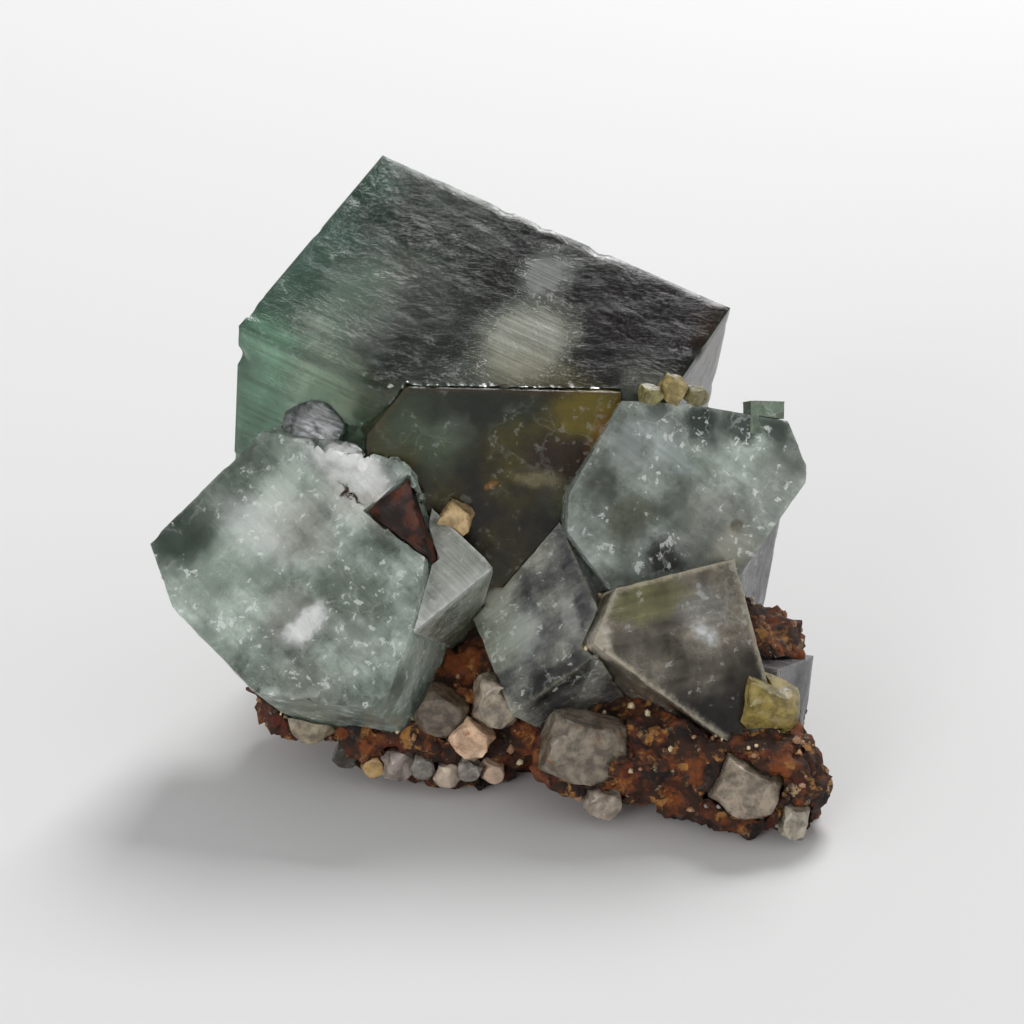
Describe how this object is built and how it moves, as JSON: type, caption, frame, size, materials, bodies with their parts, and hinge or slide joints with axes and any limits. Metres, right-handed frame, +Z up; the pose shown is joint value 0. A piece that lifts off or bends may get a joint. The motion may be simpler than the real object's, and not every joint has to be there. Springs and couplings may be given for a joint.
{
  "type": "fluorite specimen",
  "caption": "Cluster of intergrown cubic green and grey fluorite crystals with small clear grains, on a rough rusty ironstone matrix with a flat resting face.",
  "frame": {"origin": "middle of the flat resting face under the matrix", "axes": "+Z up, -Y towards the side that shows most crystals, +X to the right seen from there"},
  "size_m": [0.0569, 0.0522, 0.0484],
  "materials": {
    "fluorite_green": "vitreous, translucent, green at the edges and dark grey inside",
    "fluorite_olive": "vitreous, translucent olive brown",
    "fluorite_pale": "frosted vitreous, pale grey green",
    "fluorite_smoky": "vitreous, smoky grey",
    "fluorite_striated": "striated vitreous grey",
    "clear_grain": "translucent grey white",
    "cream_crumb": "dull, crumbly",
    "honey_crumb": "waxy, translucent",
    "rust": "earthy",
    "ironstone": "rough, crumbly, earthy"
  },
  "bodies": {
    "root": {"top_cube": "fluorite_green", "middle_cube": "fluorite_olive", "left_cube": "fluorite_pale", "left_corner_cube": "fluorite_pale", "right_cube": "fluorite_pale", "ledge_cube": "fluorite_pale", "lower_middle_cube": "fluorite_smoky", "lower_right_cube": "fluorite_smoky", "right_rear_cube": "fluorite_striated", "side_cube": "fluorite_striated", "dark_cube": "fluorite_striated", "pale_fragment": "clear_grain", "grain_front": "clear_grain", "grain_low": "clear_grain", "grain_right": "clear_grain", "grain_foot": "clear_grain", "lump_left": "clear_grain", "lump_right": "clear_grain", "druse_1": "clear_grain", "druse_3": "clear_grain", "druse_4": "clear_grain", "druse_6": "clear_grain", "grain_edge": "cream_crumb", "grain_notch": "cream_crumb", "lump_low": "cream_crumb", "druse_2": "cream_crumb", "druse_5": "cream_crumb", "druse_7": "cream_crumb", "yellow_lump": "honey_crumb", "crumb_gold_left": "honey_crumb", "crumb_gold_middle": "honey_crumb", "crumb_gold_right": "honey_crumb", "rust_seam": "rust", "matrix": "ironstone"}
  },
  "joints": []
}
